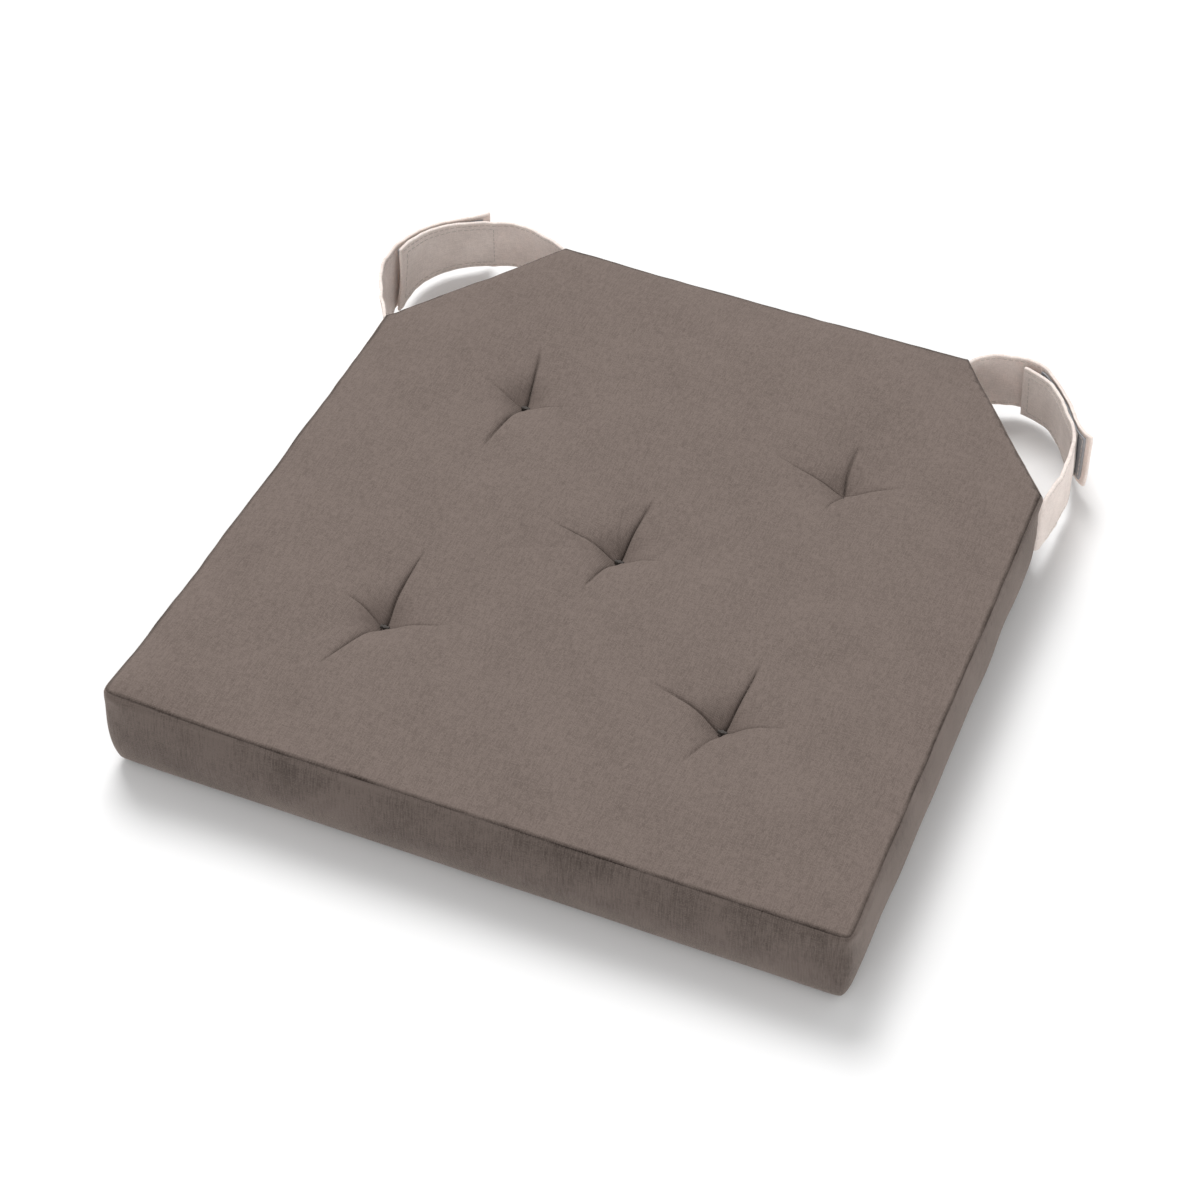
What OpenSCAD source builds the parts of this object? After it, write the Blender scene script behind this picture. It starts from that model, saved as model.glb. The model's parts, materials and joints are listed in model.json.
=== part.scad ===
// Chair seat pad: a boxed foam cushion with cut rear corners, five thread tufts
// and, at each rear corner, two fabric tabs that close round the chair's back post.
// The origin is the middle of the underside, +Y points to the chair's back, +Z up.

/* [Pad] */
// Depth from the front edge to the rear edge
pad_depth = 400; // [380:1:440]
// Width along the front edge
front_width = 388; // [380:1:440]
// Width where the cut corners start
shoulder_width = 376; // [360:1:400]
// Width along the rear edge
rear_width = 238; // [220:1:260]
// How far behind the middle the cut corners start
shoulder_y = 110; // [100:1:120]
// Thickness from seam to seam
pad_thickness = 50; // [44:1:60]
// Radius of the two front corners
front_corner_r = 8; // [5:1:20]

/* [Cover] */
// Thickness of the cover fabric
cloth = 1; // [0.6:0.1:1.4]
// Width of the fabric turned in at a seam
seam_allowance = 6; // [4:0.5:6]
// Radius of the sewing thread
thread_r = 0.35; // [0.2:0.05:0.4]

/* [Filling] */
// Thickness of each sheet of wadding
wadding = 3; // [2:0.5:5]
// Clearance between two layers of the filling
layer_gap = 0.2; // [0.1:0.1:0.5]

/* [Tufts] */
// Distance of the outer tufts from the middle line
tuft_x = 91; // [70:1:110]
// How far behind the middle the rear tufts are
tuft_rear_y = 80; // [60:1:95]
// How far behind the middle the centre tuft is
tuft_center_y = -8; // [-20:1:20]
// How far behind the middle the front tufts are
tuft_front_y = -96; // [-120:1:-60]
// Depth of a tuft in the top
tuft_depth = 12; // [6:1:14]
// Depth of a tuft in the underside
under_tuft_depth = 6; // [5:1:8]
// Radius of the twisted tufting thread
tuft_thread_r = 1; // [0.6:0.1:1.2]

/* [Straps] */
// Width of a strap tab
strap_width = 36; // [30:1:38]
// Thickness of a tab, two layers of fabric
strap_thickness = 2; // [1.6:0.1:2.2]
// Width of the hook and loop tapes
tape_width = 30; // [20:1:30]
// Thickness of each tape
tape_thickness = 1.2; // [0.8:0.1:1.2]
// Distance of a tab's fold line outside its corner seam
fold_offset = 1.5; // [1.4:0.1:2]

/* [Hidden] */
$fn = 48;
overcut = 1;

// Corners of the pad, anticlockwise from the front left one
FRONT_LEFT = 0;
FRONT_RIGHT = 1;
SHOULDER_RIGHT = 2;
REAR_RIGHT = 3;
REAR_LEFT = 4;
SHOULDER_LEFT = 5;
corners = [
  [-front_width / 2, -pad_depth / 2],
  [front_width / 2, -pad_depth / 2],
  [shoulder_width / 2, shoulder_y],
  [rear_width / 2, pad_depth / 2],
  [-rear_width / 2, pad_depth / 2],
  [-shoulder_width / 2, shoulder_y]
];
corner_r = [front_corner_r, front_corner_r, 0, 0, 0, 0];
arc_steps = 5;

// The cover's layers, as distances in from the pad's outline
turned_in = 1.5 * cloth;
panel_edge = turned_in + cloth;
panel_flange = panel_edge + cloth;
thread_line = 2 * thread_r;
filling_edge = panel_flange + thread_line + layer_gap;
seam_line_z = seam_allowance / 2;

// The filling's layers, as distances in from the top or the underside
wadding_start = cloth + layer_gap;
foam_start = wadding_start + wadding + layer_gap;
mid_z = pad_thickness / 2;

// A tuft is a cone that ends in a small floor
tuft_mouth_r = 24;
under_tuft_mouth_r = 15;
tuft_floor_r = 3;
knot_r = 1.9;
tufts = [
  [0, tuft_center_y],
  [-tuft_x, tuft_front_y],
  [tuft_x, tuft_front_y],
  [-tuft_x, tuft_rear_y],
  [tuft_x, tuft_rear_y]
];

// The four corner seams, where the boxing turns in on both sides of a tab's root
leg_depth = 8;
root_gap = 0.1;
root_end = -0.5;
strap_z = mid_z - strap_width / 2;
leg_z = seam_allowance + 0.5;
leg_height = pad_thickness - 2 * leg_z;
leg_side = strap_thickness / 2 + root_gap;
notch_width = 2 * (leg_side + cloth + thread_line) + 1;
notch_depth = leg_depth + 3;

// Middle lines of the tabs from the fold line to the free end: [x, y, heading]
left_side_line = [
  [fold_point(SHOULDER_LEFT).x, fold_point(SHOULDER_LEFT).y, 117],
  [-207.5, 144, 117], [-211.5, 176, 78], [-195.5, 203, 40], [-177, 218, 38]
];
left_rear_line = [
  [fold_point(REAR_LEFT).x, fold_point(REAR_LEFT).y, 146],
  [-151, 215.5, 172], [-183.7, 204.8, 206], [-207, 173.6, 259]
];
right_rear_line = [
  [fold_point(REAR_RIGHT).x, fold_point(REAR_RIGHT).y, 68],
  [134, 216, 24], [150, 219, -6], [171, 205, -48], [189, 180, -55], [198, 172.5, -36]
];
right_side_line = [
  [fold_point(SHOULDER_RIGHT).x, fold_point(SHOULDER_RIGHT).y, 88],
  [191, 145, 92], [185, 177.2, 125], [167.3, 201.8, 132], [150.5, 211, 160]
];
steps_per_stretch = 8;

// Stretches that carry a tape, counted along the middle line's points
left_side_tape = [1.9, 3.8];
left_rear_tape = [1.5, 2.9];
right_rear_tape = [2.3, 4.7];
right_side_tape = [1.85, 3.85];
stitch_height = 0.4;
stitch_width = 0.6;
stitch_margin = 1.5;

taupe = [0.49, 0.44, 0.41];
dark_taupe = [0.38, 0.34, 0.31];
greige = [0.75, 0.69, 0.66];
tape_grey = [0.55, 0.55, 0.56];

// ---- outline of the pad ----

function unit(v) = v / norm(v);
function turned(v, angle) = [v.x * cos(angle) - v.y * sin(angle), v.x * sin(angle) + v.y * cos(angle)];
function edge_in(a, b) = turned(unit(b - a), 90);
function before(i) = (i + 5) % 6;
function after(i) = (i + 1) % 6;
function in_before(i) = edge_in(corners[before(i)], corners[i]);
function in_after(i) = edge_in(corners[i], corners[after(i)]);
function out(i) = -unit(in_before(i) + in_after(i));
function inset_corner(i, d) = corners[i] - out(i) * d / (-out(i) * in_before(i));
function angle_of(v) = atan2(v.y, v.x);

function corner_points(i, d) =
  let (r = corner_r[i] - d)
  r <= 0 ? [inset_corner(i, d)] :
  let (
    middle = inset_corner(i, corner_r[i]),
    start = angle_of(-in_before(i)),
    turn = acos(in_before(i) * in_after(i))
  )
  [for (k = [0 : arc_steps]) middle + r * [cos(start + turn * k / arc_steps), sin(start + turn * k / arc_steps)]];

function outline(d) = [for (i = [0 : 5]) each corner_points(i, d)];

module slab(inset, z0, z1) {
  translate([0, 0, z0]) linear_extrude(z1 - z0) polygon(outline(inset));
}

module rim(inset0, inset1, z0, z1) {
  difference() {
    slab(inset0, z0, z1);
    slab(inset1, z0 - overcut, z1 + overcut);
  }
}

// ---- tufts and layers ----

module tuft_cone(mouth_r, depth) {
  translate([0, 0, -depth]) cylinder(h = depth, r1 = tuft_floor_r, r2 = mouth_r);
  cylinder(h = overcut, r = mouth_r);
}

module upper_block(drop, inset, z0) {
  difference() {
    slab(inset, z0, pad_thickness - drop);
    for (p = tufts)
      translate([p.x, p.y, pad_thickness - drop]) tuft_cone(tuft_mouth_r, tuft_depth);
  }
}

module lower_block(rise, inset, z1) {
  difference() {
    slab(inset, rise, z1);
    for (p = tufts)
      translate([p.x, p.y, rise]) mirror([0, 0, 1]) tuft_cone(under_tuft_mouth_r, under_tuft_depth);
  }
}

module thread_holes(r) {
  for (p = tufts)
    translate([p.x, p.y, -overcut]) cylinder(h = pad_thickness + 2 * overcut, r = r);
}

module foam_core() {
  color([0.95, 0.93, 0.85]) difference() {
    intersection() {
      upper_block(foam_start, filling_edge, 0);
      lower_block(foam_start, filling_edge, pad_thickness);
    }
    for (i = [SHOULDER_RIGHT : SHOULDER_LEFT])
      at_seam(i) translate([-notch_depth, -notch_width / 2, 0]) cube([2 * notch_depth, notch_width, pad_thickness]);
    thread_holes(tuft_thread_r + layer_gap);
  }
}

module top_wadding() {
  color("white") difference() {
    upper_block(wadding_start, filling_edge, mid_z);
    upper_block(wadding_start + wadding, filling_edge - overcut, mid_z - overcut);
    thread_holes(tuft_thread_r + layer_gap);
  }
}

module bottom_wadding() {
  color("white") difference() {
    lower_block(wadding_start, filling_edge, mid_z);
    lower_block(wadding_start + wadding, filling_edge - overcut, mid_z + overcut);
    thread_holes(tuft_thread_r + layer_gap);
  }
}

module top_panel() {
  color(taupe) union() {
    difference() {
      upper_block(0, panel_edge, mid_z);
      upper_block(cloth, panel_edge - overcut, mid_z - overcut);
      thread_holes(tuft_thread_r);
    }
    rim(panel_edge, panel_flange, pad_thickness - seam_allowance, pad_thickness - cloth / 2);
  }
}

module bottom_panel() {
  color(dark_taupe) union() {
    difference() {
      lower_block(0, panel_edge, mid_z);
      lower_block(cloth, panel_edge - overcut, mid_z + overcut);
      thread_holes(tuft_thread_r);
    }
    rim(panel_edge, panel_flange, cloth / 2, seam_allowance);
  }
}

// ---- boxing ----

module at_seam(i) {
  translate([corners[i].x, corners[i].y, 0]) rotate(angle_of(out(i))) children();
}

module boxing_band() {
  rim(0, cloth, 0, pad_thickness);
  rim(0, panel_edge, 0, cloth);
  rim(0, panel_edge, pad_thickness - cloth, pad_thickness);
  rim(turned_in, panel_edge, 0, seam_allowance);
  rim(turned_in, panel_edge, pad_thickness - seam_allowance, pad_thickness);
}

module between_seams(path) {
  reach = 20;
  outer = [for (i = path) corners[i] + out(i) * reach];
  inner = [for (k = [len(path) - 1 : -1 : 0]) corners[path[k]] - out(path[k]) * reach];
  translate([0, 0, -overcut]) linear_extrude(pad_thickness + 2 * overcut) polygon(concat(outer, inner));
}

module root_slot() {
  translate([-notch_depth, -leg_side, strap_z - root_gap])
    cube([2 * notch_depth, 2 * leg_side, strap_width + 2 * root_gap]);
}

module seam_leg(side) {
  translate([-leg_depth - cloth, side > 0 ? leg_side : -leg_side - cloth, leg_z])
    cube([leg_depth, cloth, leg_height]);
}

// A strip of boxing along a path of corners, turned in at both of its ends
module boxing_strip(path) {
  first = path[0];
  last = path[len(path) - 1];
  color(dark_taupe) union() {
    difference() {
      intersection() {
        boxing_band();
        between_seams(path);
      }
      at_seam(first) root_slot();
      at_seam(last) root_slot();
    }
    at_seam(first) seam_leg(1);
    at_seam(last) seam_leg(-1);
  }
}

module front_side_boxing() {
  boxing_strip([SHOULDER_LEFT, FRONT_LEFT, FRONT_RIGHT, SHOULDER_RIGHT]);
}

module right_corner_boxing() {
  boxing_strip([SHOULDER_RIGHT, REAR_RIGHT]);
}

module rear_boxing() {
  boxing_strip([REAR_RIGHT, REAR_LEFT]);
}

module left_corner_boxing() {
  boxing_strip([REAR_LEFT, SHOULDER_LEFT]);
}

// ---- threads ----

// A lockstitch seam shows as one line of thread on each side of the layers it joins
module seam_thread(z) {
  color(dark_taupe) {
    rim(cloth, turned_in, z - thread_r, z + thread_r);
    rim(panel_flange, panel_flange + thread_line, z - thread_r, z + thread_r);
  }
}

module top_seam_thread() {
  seam_thread(pad_thickness - seam_line_z);
}

module bottom_seam_thread() {
  seam_thread(seam_line_z);
}

module corner_seam_threads() {
  color(dark_taupe)
    for (i = [SHOULDER_RIGHT : SHOULDER_LEFT], side = [-1, 1])
      at_seam(i) translate([-leg_depth / 2 - cloth, side * (leg_side + cloth + thread_r), leg_z])
        cylinder(h = leg_height, r = thread_r);
}

module tuft_thread(k) {
  bar_length = 1.5 * tuft_floor_r;
  floor_z = pad_thickness - tuft_depth;
  color(taupe) translate([tufts[k].x, tufts[k].y, 0]) {
    translate([0, 0, under_tuft_depth - knot_r]) cylinder(h = floor_z - under_tuft_depth + 2 * knot_r, r = tuft_thread_r);
    translate([0, 0, under_tuft_depth - knot_r]) sphere(r = knot_r);
    translate([-bar_length / 2, 0, floor_z + tuft_thread_r]) rotate([0, 90, 0])
      cylinder(h = bar_length, r = tuft_thread_r);
  }
}

module tuft_thread_center() {
  tuft_thread(0);
}

module tuft_thread_front_left() {
  tuft_thread(1);
}

module tuft_thread_front_right() {
  tuft_thread(2);
}

module tuft_thread_rear_left() {
  tuft_thread(3);
}

module tuft_thread_rear_right() {
  tuft_thread(4);
}

// ---- strap tabs ----

function fold_point(i) = corners[i] + out(i) * fold_offset;
function direction(angle) = [cos(angle), sin(angle)];
function spot(line, k) = [line[k].x, line[k].y];

// A point on a smooth curve through the line's points, each passed at its own heading
function along(line, u) =
  let (
    k = min(floor(u), len(line) - 2),
    t = u - k,
    a = spot(line, k),
    b = spot(line, k + 1),
    handle = 0.35 * norm(b - a),
    a_out = a + handle * direction(line[k][2]),
    b_in = b - handle * direction(line[k + 1][2])
  )
  a * pow(1 - t, 3) + a_out * 3 * t * pow(1 - t, 2) + b_in * 3 * t * t * (1 - t) + b * pow(t, 3);

function left_of(line, u) =
  let (h = 0.01, a = along(line, max(u - h, 0)), b = along(line, min(u + h, len(line) - 1)))
  turned(unit(b - a), 90);

// The k-th of the points that every band on this line shares, so that bands lie flat on each other
function shared_point(line, k, side) =
  let (u = min(k / steps_per_stretch, len(line) - 1))
  along(line, u) + left_of(line, u) * side;

function beside(line, u, side) =
  let (k = floor(u * steps_per_stretch), part = u * steps_per_stretch - k)
  shared_point(line, k, side) * (1 - part) + shared_point(line, k + 1, side) * part;

// A curved band between two distances to the left of the line
module band(line, from, to, side0, side1, z, height) {
  first = floor(from * steps_per_stretch) + 1;
  last = ceil(to * steps_per_stretch) - 1;
  us = concat([from], [for (k = [first : 1 : last]) k / steps_per_stretch], [to]);
  near = [for (u = us) beside(line, u, side0)];
  far = [for (k = [len(us) - 1 : -1 : 0]) beside(line, us[k], side1)];
  translate([0, 0, z]) linear_extrude(height) polygon(concat(near, far));
}

module tab_root(i) {
  color(greige) at_seam(i) translate([-leg_depth - cloth, -strap_thickness / 2, strap_z])
    cube([leg_depth + cloth + root_end, strap_thickness, strap_width]);
}

// The tab starts in a round fold that turns on the fold line
module tab(line) {
  half = strap_thickness / 2;
  color(greige) union() {
    band(line, 0, len(line) - 1, -half, half, strap_z, strap_width);
    translate([line[0].x, line[0].y, strap_z]) cylinder(h = strap_width, r = half);
  }
}

module tape(line, stretch) {
  face = strap_thickness / 2;
  color(tape_grey)
    band(line, stretch[0], stretch[1], -face - tape_thickness, -face, mid_z - tape_width / 2, tape_width);
}

// A rectangle of stitches on the tab's face behind the tape
module tape_stitching(line, stretch) {
  face = strap_thickness / 2;
  height = tape_width - 2 * stitch_margin;
  low = mid_z - height / 2;
  end = 0.03;
  color(greige) union() {
    for (z = [low, low + height - stitch_width])
      band(line, stretch[0] + end, stretch[1] - end, face, face + stitch_height, z, stitch_width);
    for (u = [stretch[0] + end, stretch[1] - 2 * end])
      band(line, u, u + end, face, face + stitch_height, low, height);
  }
}

module left_side_tab_root() {
  tab_root(SHOULDER_LEFT);
}

module left_rear_tab_root() {
  tab_root(REAR_LEFT);
}

module right_rear_tab_root() {
  tab_root(REAR_RIGHT);
}

module right_side_tab_root() {
  tab_root(SHOULDER_RIGHT);
}

module left_side_tab() {
  tab(left_side_line);
}

module left_side_hook_tape() {
  tape(left_side_line, left_side_tape);
}

module left_side_tape_stitching() {
  tape_stitching(left_side_line, left_side_tape);
}

module left_rear_tab() {
  tab(left_rear_line);
}

module left_rear_loop_tape() {
  tape(left_rear_line, left_rear_tape);
}

module left_rear_tape_stitching() {
  tape_stitching(left_rear_line, left_rear_tape);
}

module right_rear_tab() {
  tab(right_rear_line);
}

module right_rear_hook_tape() {
  tape(right_rear_line, right_rear_tape);
}

module right_rear_tape_stitching() {
  tape_stitching(right_rear_line, right_rear_tape);
}

module right_side_tab() {
  tab(right_side_line);
}

module right_side_loop_tape() {
  tape(right_side_line, right_side_tape);
}

module right_side_tape_stitching() {
  tape_stitching(right_side_line, right_side_tape);
}

foam_core();
top_wadding();
bottom_wadding();
top_panel();
bottom_panel();
front_side_boxing();
left_corner_boxing();
rear_boxing();
right_corner_boxing();
top_seam_thread();
bottom_seam_thread();
corner_seam_threads();
tuft_thread_center();
tuft_thread_front_left();
tuft_thread_front_right();
tuft_thread_rear_left();
tuft_thread_rear_right();
left_side_tab_root();
left_rear_tab_root();
right_rear_tab_root();
right_side_tab_root();
left_side_tab();
left_side_hook_tape();
left_side_tape_stitching();
left_rear_tab();
left_rear_loop_tape();
left_rear_tape_stitching();
right_rear_tab();
right_rear_hook_tape();
right_rear_tape_stitching();
right_side_tab();
right_side_loop_tape();
right_side_tape_stitching();
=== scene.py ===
# %% [markdown]
# # A tufted chair seat pad with corner straps
# The real pad is a block of foam in a sewn cover. The cover has a top panel, a bottom panel and upright
# strips between them, called boxing. Five threads pull the top down into tufts, and four fabric tabs at
# the cut rear corners close round the chair's back posts.
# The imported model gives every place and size. Each step below turns one plain solid of it into cloth.

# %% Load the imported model
import json
import math

import bmesh
import bpy
import numpy as np
from mathutils import Matrix, Vector


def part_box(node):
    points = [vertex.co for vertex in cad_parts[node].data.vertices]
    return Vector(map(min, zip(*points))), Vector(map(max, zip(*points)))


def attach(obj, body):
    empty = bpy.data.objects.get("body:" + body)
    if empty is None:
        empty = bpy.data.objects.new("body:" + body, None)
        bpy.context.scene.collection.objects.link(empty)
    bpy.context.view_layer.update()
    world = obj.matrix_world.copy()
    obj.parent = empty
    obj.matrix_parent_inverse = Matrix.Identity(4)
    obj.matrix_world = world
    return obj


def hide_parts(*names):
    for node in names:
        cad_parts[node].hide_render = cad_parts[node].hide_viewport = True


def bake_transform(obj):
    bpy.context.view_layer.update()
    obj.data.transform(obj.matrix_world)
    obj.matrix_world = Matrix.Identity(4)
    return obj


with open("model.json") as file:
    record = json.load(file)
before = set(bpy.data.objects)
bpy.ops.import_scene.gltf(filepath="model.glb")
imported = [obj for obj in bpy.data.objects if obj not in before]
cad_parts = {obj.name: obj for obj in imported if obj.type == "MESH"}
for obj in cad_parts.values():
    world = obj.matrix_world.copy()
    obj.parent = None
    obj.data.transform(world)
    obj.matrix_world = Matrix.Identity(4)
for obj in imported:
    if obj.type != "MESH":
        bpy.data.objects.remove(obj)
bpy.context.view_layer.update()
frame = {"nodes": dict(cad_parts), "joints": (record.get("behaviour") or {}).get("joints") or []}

MM = 0.001
scene = bpy.context.scene

# %% [markdown]
# ## The outline
# Seen from above the pad is a square with two cut corners. Its six corners come from the boxes of the
# boxing strips, so the cloth always follows the solids. They run anticlockwise from the front left.

# %% The pad's outline, its seams and its tufts
side_low, side_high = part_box("front_side_boxing")
rear_low, rear_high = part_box("rear_boxing")
shoulder_x = -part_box("left_corner_boxing")[0].x
TOP = side_high.z
CORNERS = np.array([
    (side_low.x, side_low.y),
    (side_high.x, side_low.y),
    (shoulder_x, side_high.y),
    (rear_high.x, rear_high.y),
    (rear_low.x, rear_high.y),
    (-shoulder_x, side_high.y),
])
FRONT_LEFT, FRONT_RIGHT, SHOULDER_RIGHT, REAR_RIGHT, REAR_LEFT, SHOULDER_LEFT = range(6)
EDGES = np.roll(CORNERS, -1, axis=0) - CORNERS
EDGE_LENGTHS = np.linalg.norm(EDGES, axis=1)
EDGE_WAYS = EDGES / EDGE_LENGTHS[:, None]
OUTWARD = np.stack([EDGE_WAYS[:, 1], -EDGE_WAYS[:, 0]], axis=1)
FRONT_CORNER_R = 4 * MM
STRAP_SEAMS = CORNERS[[SHOULDER_RIGHT, REAR_RIGHT, REAR_LEFT, SHOULDER_LEFT]]


def middle(node):
    low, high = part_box(node)
    return np.array(((low + high) / 2)[:2])


TUFT_NAMES = ["center", "front_left", "front_right", "rear_left", "rear_right"]
TUFTS = {name: middle("tuft_thread_" + name) for name in TUFT_NAMES}
print("corners in mm:", (CORNERS / MM).round(1).tolist())
print("tufts in mm:", {name: (at / MM).round(0).tolist() for name, at in TUFTS.items()})

# %% [markdown]
# Two questions come up for every point of the cover: how far in from the outline it is, and which way
# is out from there. For a shape with straight sides the distance is the smallest of the distances to
# the sides. The two front corners are round, so there the distance is measured from the round's middle.

# %% How far in, and which way is out
def depth_in(points):
    gaps = ((CORNERS[None] - points[:, None]) * OUTWARD[None]).sum(axis=2)
    return gaps.min(axis=1)


def way_out(points):
    gaps = ((CORNERS[None] - points[:, None]) * OUTWARD[None]).sum(axis=2)
    ways = OUTWARD[gaps.argmin(axis=1)]
    for corner, side in ((FRONT_LEFT, 1), (FRONT_RIGHT, -1)):
        round_middle = CORNERS[corner] + FRONT_CORNER_R * np.array([side, 1])
        away = points - round_middle
        inside = (away[:, 0] * side < 0) & (away[:, 1] < 0)
        ways[inside] = away[inside] / np.maximum(np.linalg.norm(away[inside], axis=1), 1e-9)[:, None]
    for seam in STRAP_SEAMS:
        near = np.linalg.norm(points - seam, axis=1) < 0.5 * MM
        both = gaps[near].argsort(axis=1)[:, :2] if near.any() else []
        for index, (first, second) in zip(np.flatnonzero(near), both):
            way = OUTWARD[first] + OUTWARD[second]
            ways[index] = way / np.linalg.norm(way)
    return ways


def place_round(points):
    """(which side each point is nearest, how far along the outline it is from the left strap's side seam)"""
    along = ((points[:, None] - CORNERS[None]) * EDGE_WAYS[None]).sum(axis=2)
    clamped = np.clip(along, 0, EDGE_LENGTHS[None])
    nearest = CORNERS[None] + clamped[..., None] * EDGE_WAYS[None]
    gaps = np.linalg.norm(points[:, None] - nearest, axis=2)
    side = gaps.argmin(axis=1)
    starts = np.roll(np.concatenate([[0], np.cumsum(np.roll(EDGE_LENGTHS, 1))[:-1]]), -1)
    rows = np.arange(len(points))
    return side, starts[side] + clamped[rows, side]


print("round the pad in mm:", round(EDGE_LENGTHS.sum() / MM))

# %% [markdown]
# ## The filled cover as one closed form
# The cover is first made whole, because its panels pull on each other. It starts as a flat grid for the
# top panel. The grid is narrowed to follow the slanted sides, and two cuts take the rear corners off.
# The outer edge is then extruded down, ring by ring, into the boxing. Each ring has a height and a
# distance out of the outline, which draws the section of the side: a tight seam, a small roll under it,
# a soft bulge, and a round lower edge over the hidden bottom seam. A narrow inset along the edge of the
# top panel gives it a small lip beside the seam. Three of the corners are lifted a little, as a soft
# pad never lies quite flat.

# %% Section of the side
CELL, SAME_POINT = 5 * MM, 1.4 * MM
SEAM_IN = -0.9 * MM
SEAM_HEIGHT = TOP - 0.7 * MM
SIDE_RINGS = [  # height, distance out of the outline, in mm
    (48.8, 0.2), (47.8, 0.7), (46.3, 0.9), (44, 0.9), (38, 1.1), (32, 1.6), (25, 1.9),
    (18, 1.7), (12, 1.0), (8, 0.1), (5, -0.9), (3, -2.1), (1.7, -3.4),
]
BOTTOM_SEAM = (0.8, -4.6)
CROWN = 2.4 * MM
CORNER_PULL, CORNER_REACH = 0.5 * MM, 12 * MM
CORNER_LIFT, LIFT_REACH = {FRONT_LEFT: 3.0 * MM, SHOULDER_RIGHT: 2.4 * MM, REAR_LEFT: 1.2 * MM}, 45 * MM
CROWN_REACH = 9 * MM
LIP, LIP_WIDTH = 0.7 * MM, 1.3 * MM

# %% The flat grid of a panel
def panel_grid(bm):
    across = round((side_high.x - side_low.x) / CELL)
    along = round((rear_high.y - side_low.y) / CELL)
    made = bmesh.ops.create_grid(bm, x_segments=across, y_segments=along, size=0.5)
    reach = max(v.co.x for v in made["verts"])
    for v in made["verts"]:
        y = (v.co.y / reach + 1) / 2
        y = side_low.y + y * (rear_high.y - side_low.y)
        back = (y - side_low.y) / (side_high.y - side_low.y)
        half_width = side_high.x + (shoulder_x - side_high.x) * back
        v.co.x, v.co.y = v.co.x / reach * half_width, y
    for side in (2, 4):
        geom = bm.verts[:] + bm.edges[:] + bm.faces[:]
        bmesh.ops.bisect_plane(
            bm, geom=geom, plane_co=(*CORNERS[side], 0), plane_no=(*OUTWARD[side], 0), clear_outer=True)
    bmesh.ops.remove_doubles(bm, verts=bm.verts[:], dist=SAME_POINT)
    for corner in CORNERS:
        nearest = min(bm.verts, key=lambda v: (v.co.x - corner[0]) ** 2 + (v.co.y - corner[1]) ** 2)
        nearest.co.x, nearest.co.y = corner
    for corner, side in ((FRONT_LEFT, 1), (FRONT_RIGHT, -1)):
        centre = Vector((CORNERS[corner][0] + side * FRONT_CORNER_R, CORNERS[corner][1] + FRONT_CORNER_R, 0))
        for v in bm.verts:
            away = v.co - centre
            if away.x * side < 0 and away.y < 0:
                v.co = centre + away * max(abs(away.x), abs(away.y)) / away.length


cover_bm = bmesh.new()
panel_grid(cover_bm)
bmesh.ops.inset_region(cover_bm, faces=cover_bm.faces[:], thickness=LIP_WIDTH, use_even_offset=True)
print("flat panel:", len(cover_bm.verts), "points")

# %% [markdown]
# The boxing needs to know, for each of its points, the outline point that it hangs from. Two layers on
# the points carry that down through the extrusions. The bottom panel is a copy of the top one, and its
# edge is merged with the last ring.

# %% Boxing and bottom panel
TOP_PANEL, SIDES, RIGHT_CORNER, REAR, LEFT_CORNER, BOTTOM_PANEL = range(6)
PANEL_OF_SIDE = [SIDES, SIDES, RIGHT_CORNER, REAR, LEFT_CORNER, SIDES]


def flat(verts):
    return np.array([(v.co.x, v.co.y) for v in verts])


for layer_name in ("outline point", "way out"):
    cover_bm.verts.layers.float_vector.new(layer_name)
base_layer = cover_bm.verts.layers.float_vector["outline point"]
out_layer = cover_bm.verts.layers.float_vector["way out"]
crease = cover_bm.edges.layers.float.new("crease_edge")
flat_points = flat(cover_bm.verts)
for v, point, way in zip(cover_bm.verts, flat_points, way_out(flat_points)):
    v[base_layer] = (*point, 0)
    v[out_layer] = (*way, 0)
top_faces = cover_bm.faces[:]
rim = [e for e in cover_bm.edges if e.is_boundary]
copied = bmesh.ops.duplicate(cover_bm, geom=cover_bm.verts[:] + cover_bm.edges[:] + cover_bm.faces[:])
bottom_faces = [g for g in copied["geom"] if isinstance(g, bmesh.types.BMFace)]
bottom_verts = [g for g in copied["geom"] if isinstance(g, bmesh.types.BMVert)]
bmesh.ops.reverse_faces(cover_bm, faces=bottom_faces)
top_verts = list({v for face in top_faces for v in face.verts})


def hang(v, height, out):
    v.co = v[base_layer] + v[out_layer] * out
    v.co.z = height
    low_part = max(1 - height / TOP, 0) ** 2
    for corner, side in ((FRONT_LEFT, 1), (FRONT_RIGHT, -1)):
        gap = math.hypot(v.co.x - CORNERS[corner][0], v.co.y - CORNERS[corner][1])
        pull = CORNER_PULL * low_part * math.exp(-gap / CORNER_REACH)
        v.co += Vector((side, 1, 0)) * pull
    for corner, lift in CORNER_LIFT.items():
        gap = math.hypot(v.co.x - CORNERS[corner][0], v.co.y - CORNERS[corner][1])
        v.co.z += lift * max(height / TOP, 0) ** 2 * math.exp(-(gap / LIFT_REACH) ** 2)


def ring_of(geom):
    verts = [g for g in geom if isinstance(g, bmesh.types.BMVert)]
    new = set(verts)
    edges = [g for g in geom if isinstance(g, bmesh.types.BMEdge) and set(g.verts) <= new]
    return verts, edges


for v in {v for e in rim for v in e.verts}:
    hang(v, SEAM_HEIGHT, SEAM_IN)
ring_edges = rim
for height, out in SIDE_RINGS + [BOTTOM_SEAM]:
    geom = bmesh.ops.extrude_edge_only(cover_bm, edges=ring_edges)["geom"]
    ring_verts, ring_edges = ring_of(geom)
    for v in ring_verts:
        hang(v, height * MM, out * MM)
print("closed form:", len(cover_bm.verts), "points,", len(cover_bm.faces), "faces")

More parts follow.
